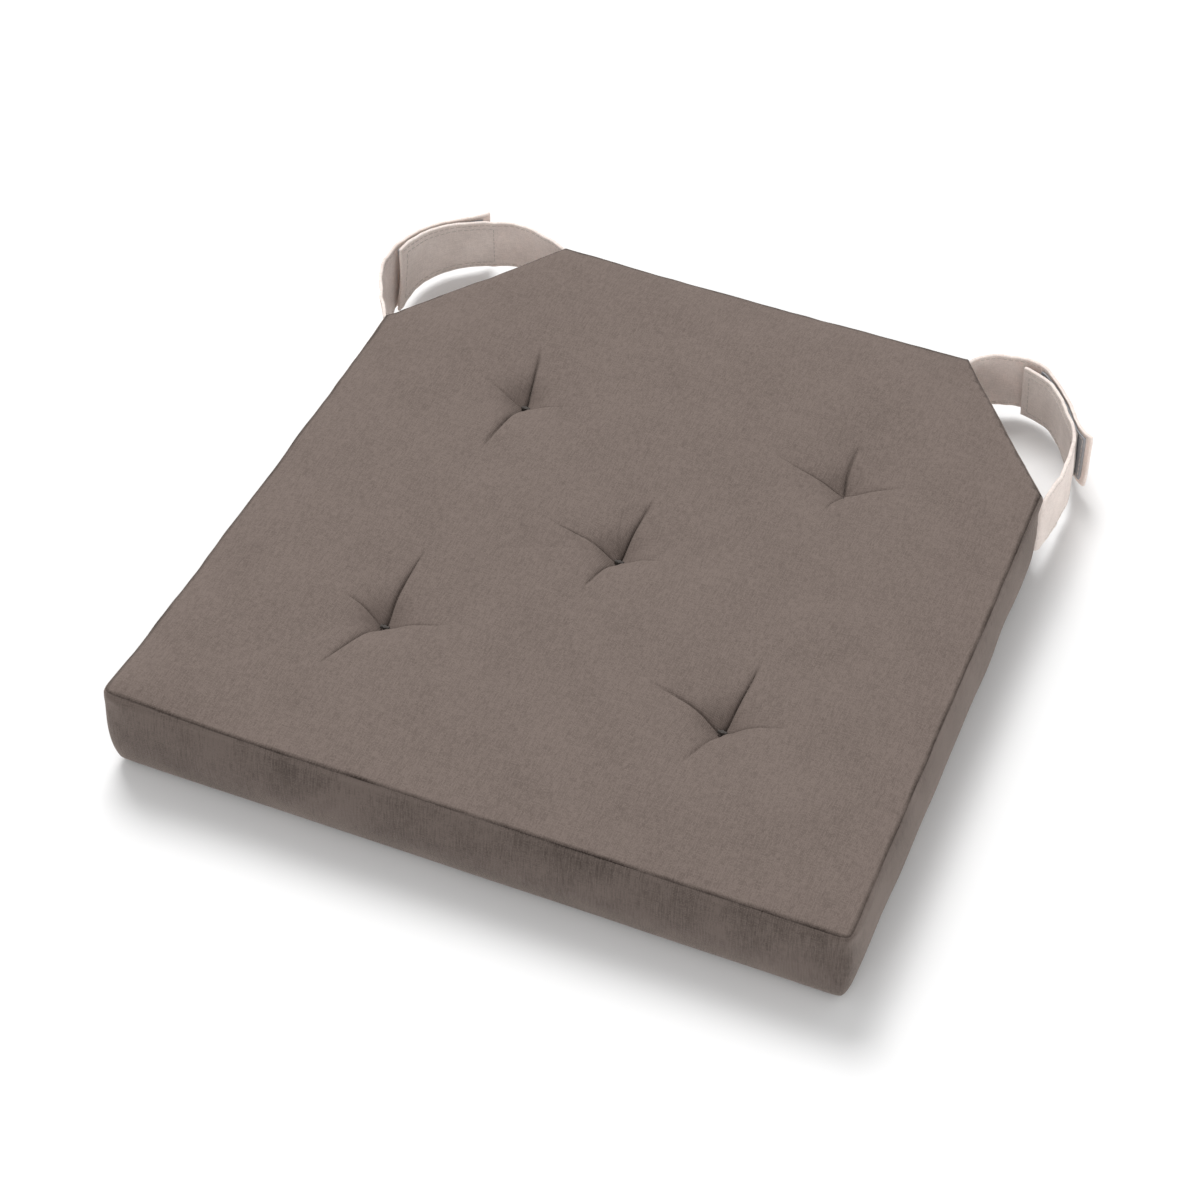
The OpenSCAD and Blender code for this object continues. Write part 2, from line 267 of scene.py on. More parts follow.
# %% [markdown]
# The top panel is that of a foam block: it climbs quickly from the seam, then stays nearly level. The
# bottom panel lies flat on the seat, apart from shallow dimples where the threads pull it up.

# %% Crown, dimples and the flat underside
BROAD_DIMPLE, BROAD_REACH = 4.4 * MM, 29 * MM
UNDER_DIMPLE, UNDER_REACH = 4.6 * MM, 8 * MM
UNDER_ROLL = 25 * MM


def dimples(points, depth, reach):
    total = np.zeros(len(points))
    for at in TUFTS.values():
        r = np.linalg.norm(points - at, axis=1)
        total += depth * np.exp(-(r / reach) ** 2)
    return total


def top_heights(points):
    depth = np.maximum(depth_in(points), 0)
    rise = CROWN * (1 - np.exp(-depth / CROWN_REACH)) + LIP * (1 - np.exp(-depth / LIP_WIDTH * 2))
    heights = SEAM_HEIGHT + rise - dimples(points, BROAD_DIMPLE, BROAD_REACH)
    for corner, lift in CORNER_LIFT.items():
        gap = np.linalg.norm(points - CORNERS[corner], axis=1)
        heights += lift * np.exp(-(gap / LIFT_REACH) ** 2)
    return heights


def shape_top(verts):
    points = flat(verts)
    depth, heights = depth_in(points), top_heights(points)
    inner = [not v.is_boundary and depth[i] > 0.5 * MM for i, v in enumerate(verts)]
    for v, height, is_inner in zip(verts, heights, inner):
        if is_inner:
            v.co.z = height


def shape_bottom(verts):
    points = flat(verts)
    depth = np.maximum(depth_in(points), 0)
    heights = BOTTOM_SEAM[0] * MM * np.exp(-depth / (2 * MM)) + dimples(points, UNDER_DIMPLE, UNDER_REACH)
    pull = BOTTOM_SEAM[1] * MM * np.clip(1 - depth / UNDER_ROLL, 0, 1)
    for v, height, inward in zip(verts, heights, pull):
        hang(v, height, inward)


shape_top([v for v in top_verts if not any(e in set(rim) for e in v.link_edges)])
shape_bottom(bottom_verts)
bottom_rim = [v for v in bottom_verts if v.is_boundary]
bmesh.ops.remove_doubles(cover_bm, verts=ring_verts + bottom_rim, dist=0.2 * MM)
cover_bm.verts.ensure_lookup_table()
print("open edges left:", sum(e.is_boundary for e in cover_bm.edges))

# %% Which panel each face belongs to
bottom_set, top_set = set(bottom_faces), set(top_faces)
for face in cover_bm.faces:
    if face in top_set:
        face.material_index = TOP_PANEL
    elif face in bottom_set:
        face.material_index = BOTTOM_PANEL
    else:
        centre = sum((v[base_layer] for v in face.verts), Vector()) / len(face.verts)
        face.material_index = PANEL_OF_SIDE[place_round(np.array([centre[:2]]))[0][0]]
for edge in cover_bm.edges:
    panels = {face.material_index for face in edge.link_faces}
    if len(panels) > 1:
        edge[crease] = 1.0
bmesh.ops.recalc_face_normals(cover_bm, faces=cover_bm.faces[:])
print("seam edges:", sum(edge[crease] > 0 for edge in cover_bm.edges))

# %% [markdown]
# ## Filling the cover
# A cloth simulation with a little air pressure stands in for the foam that presses the cover out. The
# seams and the tufts are pinned, because several layers of cloth or a thread hold them, and so is the
# underside, which lies on the seat. Each point may move only a few millimetres: foam isn't a balloon.

# %% Press the filling into the cover
FRAMES = 20
SWELL_LIMIT = 2.2 * MM
PINNED_R = 4 * MM


def add_object(name, data):
    made = bpy.data.objects.new(name, data)
    scene.collection.objects.link(made)
    return made


def object_from(bm, name):
    mesh = bpy.data.meshes.new(name)
    bm.to_mesh(mesh)
    return add_object(name, mesh)


def baked(piece):
    """The mesh of a curve, or of a piece with its modifiers. The piece itself is removed"""
    depsgraph = bpy.context.evaluated_depsgraph_get()
    mesh = bpy.data.meshes.new_from_object(piece.evaluated_get(depsgraph), depsgraph=depsgraph)
    bpy.data.objects.remove(piece)
    return mesh


def coordinates(mesh):
    values = np.empty(len(mesh.vertices) * 3)
    mesh.vertices.foreach_get("co", values)
    return values.reshape(-1, 3)


def press_out(piece, pinned):
    start = coordinates(piece.data)
    group = piece.vertex_groups.new(name="held")
    group.add([int(index) for index in pinned], 1.0, "REPLACE")
    cloth = piece.modifiers.new("filling", "CLOTH")
    cloth.settings.quality = 6
    cloth.settings.use_pressure = True
    cloth.settings.uniform_pressure_force = 4
    cloth.settings.effector_weights.gravity = 0
    cloth.settings.vertex_group_mass = group.name
    cloth.point_cache.frame_start, cloth.point_cache.frame_end = 1, FRAMES
    for number in range(1, FRAMES + 1):
        scene.frame_set(number)
    swollen = coordinates(piece.evaluated_get(bpy.context.evaluated_depsgraph_get()).data)
    scene.frame_set(1)
    piece.modifiers.remove(cloth)
    piece.vertex_groups.remove(group)
    moved = swollen - start
    length = np.linalg.norm(moved, axis=1)
    scale = SWELL_LIMIT * np.tanh(length / SWELL_LIMIT) / np.maximum(length, 1e-9)
    piece.data.vertices.foreach_set("co", (start + moved * scale[:, None]).ravel())
    print("filling moved the cover by up to", round((length * scale).max() / MM, 2), "mm")


cover = object_from(cover_bm, "filled_cover")
points = coordinates(cover.data)
seam_ids = {v.index for e in cover_bm.edges if e[crease] > 0 for v in e.verts}
tuft_gap = np.min([np.linalg.norm(points[:, :2] - at, axis=1) for at in TUFTS.values()], axis=0)
low_ids = np.flatnonzero((points[:, 2] < 2 * MM) | (tuft_gap < PINNED_R))
cover_bm.free()
press_out(cover, sorted(seam_ids | set(low_ids.tolist())))

# %% [markdown]
# One round of subdivision smooths the form. The seams are creased edges, so they stay sharp. Round each
# tuft the mesh is cut finer still, because the folds there are only a millimetre or two wide.

# %% Smooth the form, with finer cells round the tufts
FINE_R = 50 * MM


def cut_finer(bm, wanted):
    edges = [e for e in bm.edges if wanted((e.verts[0].co + e.verts[1].co) / 2)]
    bmesh.ops.subdivide_edges(bm, edges=edges, cuts=1, use_grid_fill=True)


def near_tuft(reach):
    def test(co):
        return co.z > TOP / 2 and min(math.hypot(co.x - x, co.y - y) for x, y in TUFTS.values()) < reach
    return test


form = bmesh.new()
cover.modifiers.new("smooth", "SUBSURF").levels = 1
form.from_mesh(baked(cover))
cut_finer(form, near_tuft(FINE_R))
print("smooth form:", len(form.verts), "points")

# %% [markdown]
# ## Tufts and their folds
# A tuft without a button is a point where all the surplus cloth is drawn together, and the surplus
# lies in a few folds that run out from it. Each fold here is a short curved path with a heading where
# it leaves the tuft and another where it ends. Across the path the cloth falls steeply on one side and
# gently on the other, as a real fold does when it leans over. Each fold is a narrow slit and a broad
# slope added together. In the slit the cloth touches itself and no light gets in, so the same path also
# gives a shade for the material.

# %% The folds of the five tufts
class Fold:
    """A fold from a tuft: headings in degrees at its start and end, length and depth in mm."""

    def __init__(self, start, end, length, depth, steep="right", slit=0.62):
        self.start, self.end, self.length, self.depth = start, end, length * MM, depth * MM
        self.steep_side = 1 if steep == "left" else -1
        self.slit = slit

    def path(self, at):
        steps = 28
        headings = np.radians(np.linspace(self.start, self.end, steps))
        ways = np.stack([np.cos(headings), np.sin(headings)], axis=1) * self.length / steps
        return at + np.concatenate([[(0, 0)], np.cumsum(ways, axis=0)])


SOFT = 0.28
FOLDS = {
    "rear_left": [Fold(94, 108, 39, 5.6), Fold(-98, -89, 54, 5.8, "left"),
                  Fold(190, 155, 26, 2.8, "left", SOFT), Fold(-16, 10, 28, 2.4, "right", SOFT)],
    "rear_right": [Fold(106, 80, 34, 4.6), Fold(-104, -92, 26, 2.8, "left", 0.45),
                   Fold(176, 170, 42, 3.8, "left", SOFT), Fold(12, 20, 34, 3.2, "right", SOFT),
                   Fold(206, 214, 66, 0.8, "left", 0.0)],
    "center": [Fold(84, 84, 40, 6.0), Fold(-103, -93, 40, 4.6, "left"),
               Fold(180, 172, 42, 4.0, "left", 0.4), Fold(-6, 2, 28, 2.4, "right", SOFT),
               Fold(116, 96, 32, 1.4, "right", 0.5), Fold(204, 212, 85, 1.1, "left", 0.0)],
    "front_left": [Fold(91, 84, 48, 6.0), Fold(-107, -104, 52, 5.4, "left", 0.5),
                   Fold(163, 180, 28, 3.8, "left", 0.4), Fold(-2, 16, 38, 3.4, "right", SOFT)],
    "front_right": [Fold(76, 91, 42, 6.2), Fold(-98, -106, 42, 4.0, "left", SOFT),
                    Fold(166, 176, 44, 4.8, "left", 0.5), Fold(8, 6, 36, 3.2, "right", SOFT)],
}


def along_path(points, path):
    """(how far along a path the nearest place is, the signed distance to its left)"""
    best = np.full(len(points), np.inf)
    along, side = np.zeros(len(points)), np.zeros(len(points))
    step = np.linalg.norm(path[1] - path[0])
    for k, (a, b) in enumerate(zip(path[:-1], path[1:])):
        way = (b - a) / step
        t = np.clip((points - a) @ way, 0, step)
        away = points - (a + t[:, None] * way)
        gap = np.linalg.norm(away, axis=1)
        near = gap < best
        best[near] = gap[near]
        along[near] = k * step + t[near]
        left = way[0] * away[:, 1] - way[1] * away[:, 0]
        side[near] = np.where(left >= 0, gap, -gap)[near]
    return along, side


PIT_DEPTH, PIT_REACH = 7.2 * MM, 10.5 * MM
SHALLOW_TUFT = {"rear_right": 0.6}
FOLD_ZONE = 70 * MM
SLIT = (0.7 * MM, 1.7 * MM)  # width on the steep side, and on the other
SLOPE = (1.8 * MM, 8.0 * MM)
# Depth at which the painted shade in a fold is full, and how wide that painted shade is.
CREASE_FULL, CREASE_WIDTH = 4.2 * MM, 0.8 * MM


def fold_depth(points, at, folds, widen=1.0):
    """The folds meet in the tuft without adding up, as they are one cloth"""
    total = np.zeros(len(points))
    for fold in folds:
        along, side = along_path(points, fold.path(at))
        part = np.clip(along / fold.length, 0, 1)
        fade = (1 - part ** 1.6) * np.clip((1 - part) * 4, 0, 1) ** 0.7
        depth = 0
        for share, (steep_w, broad_w) in ((fold.slit, SLIT), (1 - fold.slit, SLOPE)):
            width = np.where(side * fold.steep_side > 0, steep_w, broad_w) * (1.15 - 0.55 * part) * widen
            depth = depth + share * np.exp(-np.abs(side) / width)
        total += (fold.depth * fade * depth) ** 4
    return total ** 0.25


def tuft_drop(points, widen=1.0):
    """How far the tufts and their folds lower the cloth at each point"""
    drop = np.zeros(len(points))
    for name, at in TUFTS.items():
        r = np.linalg.norm(points - at, axis=1)
        near = r < FOLD_ZONE
        drop[near] += PIT_DEPTH * SHALLOW_TUFT.get(name, 1) * np.exp(-(r[near] / PIT_REACH / widen) ** 2)
        drop[near] += fold_depth(points[near], at, FOLDS[name], widen)
    return drop


def crease_shade(points):
    """From 0 to 1, how deep a point lies in the narrow part of a fold, where the cloth touches itself"""
    shade = np.zeros(len(points))
    for name, at in TUFTS.items():
        near = np.linalg.norm(points - at, axis=1) < FOLD_ZONE
        for fold in FOLDS[name]:
            along, side = along_path(points[near], fold.path(at))
            part = np.clip(along / fold.length, 0, 1)
            depth = fold.depth * fold.slit * (1 - part ** 1.6) * np.clip(part * 12, 0.4, 1)
            shade[near] = np.maximum(shade[near], depth / CREASE_FULL * np.exp(-(side / CREASE_WIDTH) ** 2))
    return np.minimum(shade, 1)


print("folds:", sum(len(folds) for folds in FOLDS.values()))

# %% Press the folds into the top panel


def near_fold(reach):
    paths = np.concatenate([fold.path(TUFTS[name]) for name, folds in FOLDS.items() for fold in folds])

    def test(co):
        return co.z > TOP / 2 and np.hypot(paths[:, 0] - co.x, paths[:, 1] - co.y).min() < reach
    return test


cut_finer(form, near_fold(6 * MM))
cut_finer(form, near_fold(2.2 * MM))
form.verts.ensure_lookup_table()
top_ids = sorted({v.index for face in form.faces if face.material_index == TOP_PANEL for v in face.verts})
xy = np.array([form.verts[i].co[:2] for i in top_ids])
drop = tuft_drop(xy)
for i, down in zip(top_ids, drop):
    form.verts[i].co.z -= down
deepest = min(form.verts[i].co.z for i in top_ids)
print("deepest point of a tuft:", round(deepest / MM, 1), "mm above the seat")

# %% [markdown]
# ## Small unevenness
# Nothing sewn is perfectly even. The panels get low soft waves, the seams pucker a little where the
# stitches draw the cloth, and the boxing is pulled in at the four upright seams that hold the straps.

# %% Waves, puckers and upright seams
WAVE, PUCKER = 0.45 * MM, 0.14 * MM
PUCKER_REACH = 7 * MM
UPRIGHT_PULL, UPRIGHT_REACH = 1.6 * MM, 7 * MM


def waves(points, length, seed):
    """A smooth uneven height from -1 to 1, made of a few crossed sine waves"""
    chance = np.random.default_rng(seed)
    total = np.zeros(len(points))
    for _ in range(7):
        way = chance.normal(size=points.shape[1])
        way *= 2 * np.pi / length / np.linalg.norm(way) * chance.uniform(0.6, 1.5)
        total += np.sin(points @ way + chance.uniform(0, 2 * np.pi))
    return total / 7 * 1.8


form.normal_update()
co = np.array([v.co for v in form.verts])
normals = np.array([v.normal for v in form.verts])
around = place_round(co[:, :2])[1]
resting = np.clip((co[:, 2] - 1.5 * MM) / (6 * MM), 0, 1)
move = normals * (waves(co, 60 * MM, 3) * WAVE * resting)[:, None]
from_seam = np.abs(co[:, 2] - SEAM_HEIGHT) + np.maximum(depth_in(co[:, :2]), 0)
pucker = waves(around[:, None], 24 * MM, 5) * PUCKER * np.exp(-from_seam / PUCKER_REACH)
move += normals * (pucker * (from_seam > 0.3 * MM))[:, None]
seam_gap = np.min([np.linalg.norm(co[:, :2] - seam, axis=1) for seam in STRAP_SEAMS], axis=0)
upright = (co[:, 2] > 4 * MM) & (co[:, 2] < SEAM_HEIGHT - 2 * MM)
pull = np.where(upright, UPRIGHT_PULL * np.exp(-(seam_gap / UPRIGHT_REACH) ** 2), 0)
inward = -way_out(co[:, :2])
move[:, :2] += inward * pull[:, None]
for v, shift in zip(form.verts, move):
    v.co += Vector(shift)
SEAM_LINES = {}
for cad_node, panel in (("top_seam_thread", TOP_PANEL), ("bottom_seam_thread", BOTTOM_PANEL)):
    on_seam = [v for v in form.verts if len({(f.material_index == panel) for f in v.link_faces}) == 2]
    SEAM_LINES[cad_node] = np.array([v.co for v in on_seam])
print("largest small move:", round(np.linalg.norm(move, axis=1).max() / MM, 2), "mm")

# %% [markdown]
# ## Materials of cloth
# All the fabrics share one node group that draws a plain weave from the piece's own UV map, which is in
# metres. It gives the height of the threads and a shade that changes from thread to thread. A second
# group adds long faint streaks and blotches, which is what makes real cloth look less than perfect.

# %% Helpers for nodes
def socket(tree, name, kind, default=None, way="INPUT"):
    made = tree.interface.new_socket(name, in_out=way, socket_type=kind)
    if default is not None:
        made.default_value = default


def node(tree, kind, inputs=None, **settings):
    made = tree.nodes.new(kind)
    for name, value in settings.items():
        setattr(made, name, value)
    for key, value in (inputs or {}).items():
        if isinstance(value, bpy.types.NodeSocket):
            tree.links.new(value, made.inputs[key])
        else:
            made.inputs[key].default_value = value
    return made


def sums(tree, operation, a, b=0.0):
    return node(tree, "ShaderNodeMath", {0: a, 1: b}, operation=operation).outputs[0]


def vectors(tree, operation, inputs):
    return node(tree, "ShaderNodeVectorMath", inputs, operation=operation).outputs[0]


def new_material(name):
    material = bpy.data.materials.new(name)
    material.use_nodes = True
    return material, material.node_tree


def surface(tree, mask, height, dark, light, strength, bump, settings, clamp=True):
    """A colour between dark and light by the mask, and a relief of some mm, on the tree's own shader"""
    shader = tree.nodes["Principled BSDF"]
    colour = node(tree, "ShaderNodeMix", data_type="RGBA", clamp_factor=clamp)
    tree.links.new(mask, colour.inputs[0])
    colour.inputs[6].default_value, colour.inputs[7].default_value = (*dark, 1), (*light, 1)
    relief = node(tree, "ShaderNodeBump", {"Height": height, "Strength": strength, "Distance": bump * MM})
    tree.links.new(colour.outputs[2], shader.inputs["Base Color"])
    tree.links.new(relief.outputs[0], shader.inputs["Normal"])
    for key, value in settings.items():
        shader.inputs[key].default_value = value


# %% Shared group: plain weave
THREAD_DRIFT = 1.2 * MM


def weave_group():
    tree = bpy.data.node_groups.new("plain weave", "ShaderNodeTree")
    socket(tree, "Threads per metre", "NodeSocketFloat", 1300.0)
    socket(tree, "Height", "NodeSocketFloat", way="OUTPUT")
    socket(tree, "Thread shade", "NodeSocketFloat", way="OUTPUT")
    given = tree.nodes.new("NodeGroupInput")
    uv = node(tree, "ShaderNodeUVMap", uv_map="cloth")
    wander = node(tree, "ShaderNodeTexNoise", {"Vector": uv.outputs[0], "Scale": 90.0, "Detail": 2.0})
    drift = vectors(tree, "MULTIPLY", {0: wander.outputs["Color"], 1: (THREAD_DRIFT,) * 3})
    moved = vectors(tree, "ADD", {0: uv.outputs[0], 1: drift})
    scaled = vectors(tree, "SCALE", {0: moved, "Scale": given.outputs[0]})
    parts = node(tree, "ShaderNodeSeparateXYZ", {0: scaled})
    u, v = parts.outputs[0], parts.outputs[1]
    wave_u = sums(tree, "SINE", sums(tree, "MULTIPLY", u, math.pi))
    wave_v = sums(tree, "SINE", sums(tree, "MULTIPLY", v, math.pi))
    sign = sums(tree, "MULTIPLY", sums(tree, "SIGN", wave_u), wave_v)
    sign_v = sums(tree, "MULTIPLY", sums(tree, "SIGN", wave_v), wave_u)
    warp = sums(tree, "MULTIPLY", sums(tree, "ABSOLUTE", wave_u), sums(tree, "ADD", sign, 1.0))
    weft = sums(tree, "MULTIPLY", sums(tree, "ABSOLUTE", wave_v), sums(tree, "SUBTRACT", 1.0, sign_v))
    height = sums(tree, "MULTIPLY", sums(tree, "MAXIMUM", warp, weft), 0.5)
    shades = []
    for own, along in ((u, v), (v, u)):
        length = sums(tree, "FLOOR", sums(tree, "MULTIPLY", along, 0.3))
        cell = node(tree, "ShaderNodeCombineXYZ", {0: sums(tree, "FLOOR", own), 1: length})
        thread = node(tree, "ShaderNodeTexWhiteNoise", {"Vector": cell.outputs[0]}, noise_dimensions="3D")
        shades.append(thread.outputs["Value"])
    on_top = sums(tree, "GREATER_THAN", warp, weft)
    shade = node(tree, "ShaderNodeMix", {"Factor": on_top, "A": shades[1], "B": shades[0]}, data_type="FLOAT")
    result = tree.nodes.new("NodeGroupOutput")
    tree.links.new(height, result.inputs["Height"])
    tree.links.new(shade.outputs[0], result.inputs["Thread shade"])
    return tree


WEAVE = weave_group()

# %% Shared group: streaks and blotches
def streak_group():
    tree = bpy.data.node_groups.new("streaks and blotches", "ShaderNodeTree")
    socket(tree, "Streak length", "NodeSocketFloat", 8.0)
    socket(tree, "Blotches", "NodeSocketFloat", 0.25)
    socket(tree, "Streaks", "NodeSocketFloat", 0.45)
    socket(tree, "Mask", "NodeSocketFloat", way="OUTPUT")
    given = tree.nodes.new("NodeGroupInput")
    uv = node(tree, "ShaderNodeUVMap", uv_map="cloth")
    long_way = sums(tree, "DIVIDE", 1.0, given.outputs[0])
    stretch = node(tree, "ShaderNodeCombineXYZ", {0: 1.0, 1: long_way, 2: 1.0})
    pulled = vectors(tree, "MULTIPLY", {0: uv.outputs[0], 1: stretch.outputs[0]})
    streaks = node(tree, "ShaderNodeTexNoise", {"Vector": pulled, "Scale": 1300.0, "Detail": 3.0})
    blotches = node(tree, "ShaderNodeTexNoise", {"Vector": uv.outputs[0], "Scale": 28.0, "Detail": 4.0})
    grain = node(tree, "ShaderNodeTexNoise", {"Vector": uv.outputs[0], "Scale": 1500.0, "Detail": 1.0})
    total = sums(tree, "MULTIPLY", sums(tree, "SUBTRACT", grain.outputs[0], 0.5), 0.3)
    for source, amount in ((streaks, given.outputs["Streaks"]), (blotches, given.outputs["Blotches"])):
        part = sums(tree, "MULTIPLY", sums(tree, "SUBTRACT", source.outputs[0], 0.5), amount)
        total = sums(tree, "ADD", total, part)
    mixed = sums(tree, "ADD", total, 0.5)
    result = tree.nodes.new("NodeGroupOutput")
    tree.links.new(mixed, result.inputs["Mask"])
    return tree


STREAKS = streak_group()

# %% A cloth material from the two groups
# How much the seam attribute darkens the cloth: the seam lines, and the painted shade deep in the folds.
SEAM_AND_CREASE_SHADE, DARKEST, WEAR_LIGHT = 1.2, -0.55, 0.5


def cloth_material(name, dark, light, threads=1300.0, streak=8.0, streaks=0.45, blotches=0.25, bump=0.12,
                   contrast=1.0, sheen=0.2, thin=0.0):
    material, tree = new_material(name)
    weave = node(tree, "ShaderNodeGroup", {"Threads per metre": threads}, node_tree=WEAVE)
    amounts = {"Streak length": streak, "Streaks": streaks, "Blotches": blotches}
    uneven = node(tree, "ShaderNodeGroup", amounts, node_tree=STREAKS)
    shade = sums(tree, "ADD", sums(tree, "MULTIPLY", weave.outputs["Thread shade"], 0.22 * contrast),
                 sums(tree, "MULTIPLY", weave.outputs["Height"], 0.22))
    shade = sums(tree, "ADD", shade, sums(tree, "MULTIPLY", uneven.outputs["Mask"], 0.9 * contrast))
    ramp = node(tree, "ShaderNodeMapRange", {"Value": shade, "From Min": 0.3, "From Max": 1.0})
    worn = node(tree, "ShaderNodeAttribute", attribute_name="wear")
    # The seam attribute darkens the seam lines, and deep in the folds of the top panel it is painted shade.
    seam = node(tree, "ShaderNodeAttribute", attribute_name="seam")
    lighter = sums(tree, "ADD", ramp.outputs[0], sums(tree, "MULTIPLY", worn.outputs["Fac"], WEAR_LIGHT))
    lighter = sums(tree, "SUBTRACT", lighter, sums(tree, "MULTIPLY", seam.outputs["Fac"], SEAM_AND_CREASE_SHADE))
    height = sums(tree, "ADD", weave.outputs["Height"], sums(tree, "MULTIPLY", uneven.outputs["Mask"], 0.8))
    surface(tree, sums(tree, "MAXIMUM", lighter, DARKEST), height, dark, light, 0.7, bump, {
        "Roughness": 0.92, "Specular IOR Level": 0.2, "Specular Tint": (1.0, 0.85, 0.76, 1),
        "Sheen Weight": sheen, "Sheen Roughness": 0.4, "Sheen Tint": (1.0, 0.87, 0.79, 1),
        "Subsurface Weight": thin, "Subsurface Radius": (1.0, 0.92, 0.86), "Subsurface Scale": 1.5 * MM,
    }, clamp=False)
    return material


TAUPE = cloth_material("taupe canvas", (0.090, 0.070, 0.061), (0.195, 0.155, 0.137), contrast=1.3, sheen=0.12)
# The boxing is the same canvas as the top panel; its darker colours are painted shade for the upright faces.
SHADED_TAUPE_SIDE = cloth_material("taupe canvas of the boxing with painted shade", (0.048, 0.037, 0.032), (0.140, 0.111, 0.098),
                            streak=16.0, streaks=0.8, blotches=1.1, contrast=1.25, bump=0.2, sheen=0.42)
TAUPE_UNDER = cloth_material("taupe canvas of the underside", (0.10, 0.078, 0.068), (0.2, 0.16, 0.142))
GREIGE = cloth_material("greige strap cloth", (0.64, 0.555, 0.51), (0.93, 0.83, 0.775), threads=1500.0,
                        streak=4.0, bump=0.14, blotches=1.2, sheen=0.1, thin=0.3)
print("cloth materials:", [m.name for m in bpy.data.materials if "canvas" in m.name or "cloth" in m.name])

# %% [markdown]
# ## Cutting the form into its panels
# Now the whole form is cut along its seams, so each panel is a piece of cloth of its own, as on the
# sewing table. Every panel gets a UV map in metres and a thickness, grown inwards so that the outside
# stays where it is. Points on the roll under the seam carry a little wear, points on a seam carry the
# darker tone of the seam line, and points deep in a fold carry a painted shade.

# %% One piece of cloth per panel
CLOTH = 1.0 * MM
PANELS = {
    "top_panel_cloth": (TOP_PANEL, "top_panel", "pad_fabric_top", TAUPE),
    "front_side_boxing_cloth": (SIDES, "front_side_boxing", "pad_fabric_side", SHADED_TAUPE_SIDE),
    "right_corner_boxing_cloth": (RIGHT_CORNER, "right_corner_boxing", "pad_fabric_side", SHADED_TAUPE_SIDE),
    "rear_boxing_cloth": (REAR, "rear_boxing", "pad_fabric_side", SHADED_TAUPE_SIDE),
    "left_corner_boxing_cloth": (LEFT_CORNER, "left_corner_boxing", "pad_fabric_side", SHADED_TAUPE_SIDE),
    "bottom_panel_cloth": (BOTTOM_PANEL, "bottom_panel", "pad_fabric_underside", TAUPE_UNDER),
}


def write_uvs(mesh, uvs):
    layer = mesh.uv_layers.new(name="cloth")
    loops = np.empty(len(mesh.loops), dtype=int)
    mesh.loops.foreach_get("vertex_index", loops)
    layer.data.foreach_set("uv", uvs[loops].ravel())


def write_attribute(mesh, name, values):
    layer = mesh.attributes.new(name, "FLOAT", "POINT")
    layer.data.foreach_set("value", np.asarray(values, dtype=np.float32))


def finish_piece(piece, material, body, nodes=()):
    piece.data.materials.clear()
    piece.data.materials.append(material)
    piece.data.polygons.foreach_set("material_index", [0] * len(piece.data.polygons))
    piece.data.shade_smooth()
    if body:
        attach(piece, body)
    if nodes:
        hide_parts(*nodes)


for name, (panel, cad_node, slot, material) in PANELS.items():
    part = form.copy()
    others = [face for face in part.faces if face.material_index != panel]
    bmesh.ops.delete(part, geom=others, context="FACES")
    on_seam = [float(v.is_boundary) for v in part.verts]
    piece = object_from(part, name)
    part.free()
    co = coordinates(piece.data)
    if panel in (TOP_PANEL, BOTTOM_PANEL):
        uvs = co[:, :2].copy()
    else:
        uvs = np.stack([place_round(co[:, :2])[1], co[:, 2]], axis=1)
    write_uvs(piece.data, uvs)
    ridge = np.exp(-((co[:, 2] - TOP + 2.4 * MM) / (1.2 * MM)) ** 2) * (depth_in(co[:, :2]) < 1 * MM)
    write_attribute(piece.data, "wear", 0.3 * ridge)
    dark = np.array(on_seam) * (0.7 + 0.3 * waves(co, 20 * MM, 8))
    # Deep in the folds of the top panel the darkening is painted shade, where the cloth touches itself.
    if panel == TOP_PANEL:
        dark = np.maximum(dark, crease_shade(co[:, :2]))
    write_attribute(piece.data, "seam", dark)
    thicken = piece.modifiers.new("cloth thickness", "SOLIDIFY")
    thicken.thickness, thicken.offset = CLOTH, -1
    finish_piece(piece, material, "pad", [cad_node])
    print(name, len(piece.data.polygons), "faces")
form.free()

# %% [markdown]
# ## Strap tabs
# A tab is a flat band of folded cloth. It is easiest to make it flat, with its length along X, its width
# along Y and its thickness along Z, and then to lay it along a path, as a hand would. The tapes and
# every stitch are made flat too and laid along the same path, so they always fit.
# The paths repeat the middle lines of the solid tabs: points in millimetres with a heading in degrees.

# %% Paths of the four tabs
TAB_LINES = {
    "left_side": (SHOULDER_LEFT, 117,
                  [(-207.5, 144, 117), (-211.5, 176, 78), (-195.5, 203, 40), (-177, 218, 38)]),
    "left_rear": (REAR_LEFT, 146, [(-151, 215.5, 172), (-183.7, 204.8, 206), (-207, 173.6, 259)]),
    "right_rear": (REAR_RIGHT, 68,
                   [(134, 216, 24), (150, 219, -6), (171, 205, -48), (189, 180, -55), (198, 172.5, -36)]),
    "right_side": (SHOULDER_RIGHT, 88,
                   [(191, 145, 92), (185, 177.2, 125), (167.3, 201.8, 132), (150.5, 211, 160)]),
}
ROOT = 9 * MM
FOLD_LENGTH = 5 * MM
TABS = {  # kind of tape, and the marks on the path where it starts and ends
    "left_side": ("hook", 1.9, 3.8),
    "left_rear": ("loop", 1.5, 2.9),
    "right_rear": ("hook", 2.3, 4.7),
    "right_side": ("loop", 1.85, 3.85),
}


def heading_way(degrees):
    return np.array([math.cos(math.radians(degrees)), math.sin(math.radians(degrees))])


def curve_between(a, a_heading, b, b_heading, count):
    handle = 0.35 * np.linalg.norm(b - a)
    t = np.linspace(0, 1, count)[:, None]
    a_out, b_in = a + handle * heading_way(a_heading), b - handle * heading_way(b_heading)
    return a * (1 - t) ** 3 + a_out * 3 * t * (1 - t) ** 2 + b_in * 3 * t ** 2 * (1 - t) + b * t ** 3


